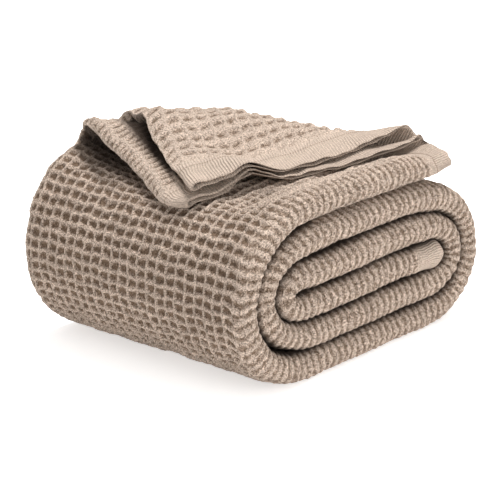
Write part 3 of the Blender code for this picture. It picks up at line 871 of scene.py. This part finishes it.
def waffle_tree():
    """Raise the ridges of the waffle from the cloth and sink its pits."""
    tree, given = new_tree(
        "Waffle relief", "Ridge height", "Ridge width", "Cross ridge height", "Cross ridge width",
        "Pit depth", "Unevenness", "Seed", "Material")
    times, plus, minus = sums(tree)
    relief, loose, fold = (read(tree, name) for name in ("relief", "loose", "fold"))
    seed = times(given["Seed"], 3.7)
    rough = times(unevenness(tree, seed, 70.0, 1.0), given["Unevenness"])
    grain = times(unevenness(tree, seed, 420.0, 2.0), given["Unevenness"])
    fuzz = unevenness(tree, seed, 330.0, 1.0)

    # Distances from the nearest ridges, in cells and frayed by loose fibres
    along = maths(tree, "PINGPONG", read(tree, "cell_along"), 0.5)
    along = plus(along, times(fuzz, plus(FRAY, times(fold, FOLD_FRAY))))
    across = maths(tree, "PINGPONG", read(tree, "cell_across"), 0.5)
    across = plus(across, times(maths(tree, "ABSOLUTE", fuzz), CROSS_FRAY))

    # Thin ridges along the strip over broad cross ridges, which widen where the two meet
    ridge_width = times(times(given["Ridge width"], plus(1.0, rough)), plus(1.0, times(loose, LOOSE_RIDGE)))
    arch = maths(tree, "POWER", minus(1.0, times(across, 2.0)), 2.0)
    widening = plus(times(arch, ARCHED), times(rough, UNEVEN_CROSS))
    widening = plus(plus(widening, times(loose, LOOSE_CROSS)), times(fold, FOLD_CROSS))
    cross_width = times(given["Cross ridge width"], plus(1.0, widening))
    ridge = times(profile(tree, across, ridge_width), minus(1.0, times(fold, FOLD_RIDGE_LOSS)))
    sharpness = minus(1.0, times(loose, LOOSE_SHARPNESS))
    cross = maths(tree, "POWER", profile(tree, along, cross_width), sharpness)
    spine = times(profile(tree, along, SPINE_WIDTH), fold)

    thin, broad = times(ridge, given["Ridge height"]), times(cross, given["Cross ridge height"])
    raised = maths(tree, "SMOOTH_MAX", thin, broad, RIDGE_BLEND)
    sunk = times(minus(1.0, maths(tree, "MAXIMUM", ridge, cross)), given["Pit depth"])
    shallow = minus(minus(1.0, times(loose, LOOSE_SHALLOW)), times(fold, FOLD_SHALLOW))
    height = minus(raised, times(times(sunk, shallow), plus(1.0, rough)))
    height = plus(plus(height, times(grain, GRAIN_HEIGHT)), times(spine, SPINE_HEIGHT))
    height = plus(times(height, relief), read(tree, "swell"))
    outward = read(tree, "face_out", "FLOAT_VECTOR")
    push = add(tree, "ShaderNodeVectorMath", {"operation": "SCALE"}, i0=outward, Scale=height)
    moved = add(tree, "GeometryNodeSetPosition", i0=given["Geometry"], Offset=push.outputs[0]).outputs[0]
    place = add(tree, "ShaderNodeSeparateXYZ", i0=tree.nodes.new("GeometryNodeInputPosition").outputs[0])
    lying = maths(tree, "MAXIMUM", place.outputs[2], ABOVE_FLOOR)
    rested = add(tree, "ShaderNodeCombineXYZ", i0=place.outputs[0], i1=place.outputs[1], i2=lying)
    moved = add(tree, "GeometryNodeSetPosition", i0=moved, Position=rested.outputs[0]).outputs[0]

    # Painted shade, stored as a level for the material: full brightness on the thin ridges, and the cross
    # ridges are painted darker the farther they lie from a thin ridge
    cross_ridge_shade = minus(plus(CROSS_SHADE, times(loose, LOOSE_SHADE)), times(across, MIDWAY_SHADE))
    bright = maths(tree, "MAXIMUM", ridge, times(cross, minus(cross_ridge_shade, times(fold, FOLD_SHADE))))
    bright = plus(plus(bright, times(spine, SPINE_SHADE)), times(fold, FOLD_BRIGHT))
    level = maths(tree, "MINIMUM", plus(bright, minus(1.0, relief)), 1.0)
    kept = add(
        tree, "GeometryNodeStoreNamedAttribute", {"data_type": "FLOAT", "domain": "POINT"}, i0=moved,
        Name="level", Value=level)
    finish_tree(tree, kept.outputs[0], given["Material"])
    return tree


def stitch_tree():
    """Lay one small rounded stitch, thicker than real, along the hem at every given point."""
    tree, given = new_tree("Hem stitches", "Length", "Width", "Material")
    bead = add(tree, "GeometryNodeMeshUVSphere", Segments=6, Rings=4, Radius=0.5)
    half_length = maths(tree, "MULTIPLY", given["Length"], 0.9)
    size = add(tree, "ShaderNodeCombineXYZ", i0=given["Width"], i1=given["Width"], i2=half_length)
    shaped = add(tree, "GeometryNodeTransform", i0=bead.outputs[0], Scale=size.outputs[0])
    way = read(tree, "thread_way", "FLOAT_VECTOR")
    turn = add(tree, "FunctionNodeAlignEulerToVector", {"axis": "Z"}, Vector=way)
    laid = add(
        tree, "GeometryNodeInstanceOnPoints", Points=given["Geometry"], Instance=shaped.outputs[0],
        Rotation=turn.outputs[0])
    finish_tree(tree, laid.outputs[0], given["Material"])
    return tree


def shape_with(mesh, name, tree, values):
    """Run a node tree over a mesh and return the finished piece."""
    rough = bpy.data.objects.new(name, mesh)
    bpy.context.scene.collection.objects.link(rough)
    modifier = rough.modifiers.new(tree.name, "NODES")
    modifier.node_group = tree
    sockets = {s.name: s.identifier for s in tree.interface.items_tree if s.in_out == "INPUT"}
    for label, value in values.items():
        modifier[sockets[label]] = value
    evaluated = rough.evaluated_get(bpy.context.evaluated_depsgraph_get())
    finished = bpy.data.meshes.new_from_object(evaluated)
    rough.modifiers.clear()
    rough.data = finished
    finished.name = name
    bpy.data.meshes.remove(mesh)
    return rough


# Materials

def new_material(name, **values):
    """Start a material, fill its shader's inputs and return all three: material, tree and shader."""
    material = bpy.data.materials.new(name)
    material.use_nodes = True
    shader = material.node_tree.nodes["Principled BSDF"]
    for label, value in values.items():
        shader.inputs[label.replace("_", " ")].default_value = value
    return material, material.node_tree, shader


def cotton(colours):
    """Washed cotton waffle: soft taupe yarns, raised along the ridges, with painted shade in the pits."""
    material, tree, shader = new_material(
        "Cotton waffle weave, yarn dyed and washed soft", Roughness=0.94, Specular_IOR_Level=0.18,
        Sheen_Weight=0.12, Sheen_Tint=linear(colours.cloth), Sheen_Roughness=0.6)
    times, plus, minus = sums(tree)
    names = ("level", "relief", "painted_shade")
    level, relief, painted_shade = (
        add(tree, "ShaderNodeAttribute", {"attribute_name": name}).outputs["Fac"] for name in names)
    place = add(tree, "ShaderNodeTexCoord")
    solid = place.outputs["Object"]

    # Fuzz of loose fibres, 2 mm across and finer, drawn coarser than real fibres so that it
    # shows, and the slow change of shade over a hand's width
    fuzz = add(tree, "ShaderNodeTexNoise", Vector=solid, Scale=560.0, Detail=2.0, Roughness=0.9).outputs[0]
    slow = add(tree, "ShaderNodeTexNoise", Vector=solid, Scale=28.0, Detail=2.0).outputs[0]
    # Fibres that stand across the pits and gaps that break the ridges
    stray = times(minus(fuzz, 0.5), times(relief, 0.95))
    # Painted shade in the pits: the ramp darkens the cloth's colour towards the pits' colour where the
    # level is low.
    ramp = add(tree, "ShaderNodeValToRGB", Fac=plus(level, stray))
    ramp.color_ramp.interpolation = "EASE"
    for end, colour, at in zip(ramp.color_ramp.elements, (colours.pit_shade, colours.cloth), (0.06, 0.8)):
        end.color = linear(colour)
        end.position = at
    speck, shade = (
        add(tree, "ShaderNodeMapRange", i0=noise, i1=low, i2=high, i3=dark, i4=light).outputs[0]
        for noise, low, high, dark, light in ((fuzz, 0.28, 0.72, 0.22, 1.80), (slow, 0.3, 0.7, 0.95, 1.04)))
    calm = plus(0.42, times(relief, 0.58))
    strength = times(plus(1.0, times(minus(speck, 1.0), calm)), shade)

    # Fine ribs of the hem bands, 2.8 mm apart and square to the hem, drawn coarser than the yarns
    uv = add(tree, "ShaderNodeSeparateXYZ", i0=place.outputs["UV"])
    rib = maths(tree, "SINE", times(uv.outputs[0], 2 * math.pi / 0.0028))
    rib = times(rib, minus(1.0, relief))
    # Painted light and shade along the ribs: the colour is lighter on their crests and darker in their
    # grooves.
    strength = times(strength, plus(1.0, times(rib, 0.11)))
    coloured = add(tree, "ShaderNodeVectorMath", {"operation": "SCALE"}, i0=ramp.outputs[0], Scale=strength)

    # Cloth deep between the turns is darker. The shade is painted, whatever the light is.
    deep = add(tree, "ShaderNodeMix", {"data_type": "RGBA"}, i0=painted_shade, i6=coloured.outputs[0])
    deep.inputs[7].default_value = (0.022, 0.013, 0.008, 1.0)
    tree.links.new(deep.outputs[2], shader.inputs["Base Color"])

    # Twisted yarns, 1.2 mm apart, drawn coarser than real ones so that they show
    yarn = times(maths(tree, "SINE", times(uv.outputs[1], 2 * math.pi / 0.0012)), 0.10)
    height = plus(plus(times(rib, 0.60), yarn), times(times(fuzz, 2.2), calm))
    bump = add(tree, "ShaderNodeBump", Height=height, Strength=1.0, Distance=0.0012)
    tree.links.new(bump.outputs[0], shader.inputs["Normal"])
    return material


def thread(colours):
    """Spun cotton sewing thread, a shade darker than the cloth."""
    return new_material(
        "Cotton sewing thread, spun and lock stitched", Base_Color=linear(colours.thread),
        Roughness=0.8, Sheen_Weight=0.15)[0]


def table_top(colours):
    """Matt white acrylic of a light table, faintly lit from below."""
    return new_material(
        "Light table acrylic, matt white", Base_Color=linear(colours.floor), Roughness=1.0,
        Specular_IOR_Level=0.0, Emission_Color=(1.0, 1.0, 1.0, 1.0), Emission_Strength=0.54)[0]


# Operators

class BLANKET_OT_cloth(bpy.types.Operator):
    """Build the rolled cloth with its waffle and plain hem bands"""

    bl_idname = "blanket.cloth"
    bl_label = "Rolled cloth"

    def execute(self, context):
        sizes = context.scene.blanket_sizes
        tree = waffle_tree()
        detail = cell_detail(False)
        names = (
            "ridge_height", "ridge_width", "cross_height", "cross_width", "pit_depth", "unevenness", "seed")
        values = {sizes.bl_rna.properties[name].name: getattr(sizes, name) for name in names}
        values["Material"] = cotton(context.scene.blanket_colours)
        for name, first, last in zip(PIECES, PIECE_ENDS, PIECE_ENDS[1:]):
            mesh = cloth_mesh(name, first, last, detail)
            piece = shape_with(mesh, name, tree, values)
            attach(piece, "root")
            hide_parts("blanket")
        return {"FINISHED"}


class BLANKET_OT_stitches(bpy.types.Operator):
    """Sew the line of stitches that holds the plain band of the outer hem"""

    bl_idname = "blanket.stitches"
    bl_label = "Hem stitches"

    def execute(self, context):
        sizes = context.scene.blanket_sizes
        across = np.arange(0.006, CLOTH_WIDTH - 0.006, sizes.stitch_length)
        along = np.full(across.shape, STRIP_LENGTH - HEM_BAND + 0.0035)
        facing = face_direction(along, across)
        lift = swell_at(along, across) + 0.0001
        points = cloth_point(along, across, 1.0) + facing * lift[:, None]
        way = np.gradient(points, axis=0)
        way /= np.linalg.norm(way, axis=1, keepdims=True)
        mesh = bpy.data.meshes.new("hem_stitches")
        mesh.from_pydata(points.tolist(), [], [])
        store(mesh, "thread_way", way, "FLOAT_VECTOR")
        piece = shape_with(mesh, "hem_stitches", stitch_tree(), {
            "Length": sizes.stitch_length,
            "Width": sizes.stitch_width,
            "Material": thread(context.scene.blanket_colours),
        })
        piece.data.shade_smooth()
        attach(piece, "root")
        return {"FINISHED"}


class BLANKET_OT_stage(bpy.types.Operator):
    """Set up the studio: pale floor, soft lights and the camera"""

    bl_idname = "blanket.stage"
    bl_label = "Studio"

    def execute(self, context):
        scene = context.scene
        mesh = bpy.data.meshes.new("floor")
        reach = 6.0
        corners = [(-reach, -reach, 0), (reach, -reach, 0), (reach, reach, 0), (-reach, reach, 0)]
        mesh.from_pydata(corners, [], [(0, 1, 2, 3)])
        mesh.materials.append(table_top(scene.blanket_colours))
        floor = bpy.data.objects.new("floor", mesh)
        scene.collection.objects.link(floor)
        world = bpy.data.worlds.new("Studio")
        world.use_nodes = True
        background = world.node_tree.nodes["Background"]
        background.inputs["Color"].default_value = (1.0, 1.0, 1.0, 1.0)
        background.inputs["Strength"].default_value = 0.70
        scene.world = world
        scene.view_settings.view_transform = "Standard"
        scene.view_settings.look = "None"
        add_light("Large soft light above the right", (0.55, -0.05, 3.8), 1.5, 172.0)
        add_light("Soft light from the front", (-0.5, -2.6, 1.0), 1.6, 20.0)
        add_camera(scene)
        return {"FINISHED"}


def add_light(name, place, size, power):
    """Add a square soft light that faces the blanket."""
    data = bpy.data.lights.new(name, "AREA")
    data.shape = "SQUARE"
    data.size = size
    data.energy = power
    lamp = bpy.data.objects.new(name, data)
    lamp.location = place
    lamp.rotation_euler = (Vector((0.0, 0.0, 0.1)) - Vector(place)).to_track_quat("-Z", "Y").to_euler()
    bpy.context.scene.collection.objects.link(lamp)


def add_camera(scene):
    """Add the camera, looking at the roll's front end from the left and a little above."""
    # Fitted to the spiral, the hem lines and the outline in the photo
    azimuth, elevation, far = math.radians(49.9066), math.radians(17.8212), 2.2165
    back = Vector((-math.sin(azimuth) * math.cos(elevation), -math.cos(azimuth) * math.cos(elevation),
                   math.sin(elevation)))
    data = bpy.data.cameras.new("Camera")
    data.lens = 149.2
    data.sensor_width = 36.0
    data.shift_x = -0.0065
    data.shift_y = 0.0059
    camera = bpy.data.objects.new("Camera", data)
    camera.location = Vector((0.0, 0.0, 0.08)) + back * far
    camera.rotation_euler = (-back).to_track_quat("-Z", "Y").to_euler()
    scene.collection.objects.link(camera)
    scene.camera = camera


class BLANKET_PT_panel(bpy.types.Panel):
    """Lists the blanket's sizes, its colours and the steps that build it"""

    bl_label = "Waffle Cotton Blanket"
    bl_idname = "BLANKET_PT_panel"
    bl_space_type = "VIEW_3D"
    bl_region_type = "UI"
    bl_category = "Blanket"

    def draw(self, context):
        layout = self.layout
        for group in (context.scene.blanket_sizes, context.scene.blanket_colours):
            box = layout.box()
            for name in group.__annotations__:
                box.prop(group, name)
        for operator in (BLANKET_OT_cloth, BLANKET_OT_stitches, BLANKET_OT_stage):
            layout.operator(operator.bl_idname)


CLASSES = (
    BlanketSizes, BlanketColours, BLANKET_OT_cloth, BLANKET_OT_stitches, BLANKET_OT_stage, BLANKET_PT_panel)


def register():
    """Make the properties, operators and panel known to Blender."""
    for item in CLASSES:
        bpy.utils.register_class(item)
    bpy.types.Scene.blanket_sizes = PointerProperty(type=BlanketSizes)
    bpy.types.Scene.blanket_colours = PointerProperty(type=BlanketColours)


def unregister():
    """Take them away again."""
    del bpy.types.Scene.blanket_colours
    del bpy.types.Scene.blanket_sizes
    for item in reversed(CLASSES):
        bpy.utils.unregister_class(item)


def main():
    """Build the blanket and its studio."""
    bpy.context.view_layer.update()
    register()
    bpy.ops.blanket.cloth()
    bpy.ops.blanket.stitches()
    bpy.ops.blanket.stage()


if __name__ == "__main__":
    main()
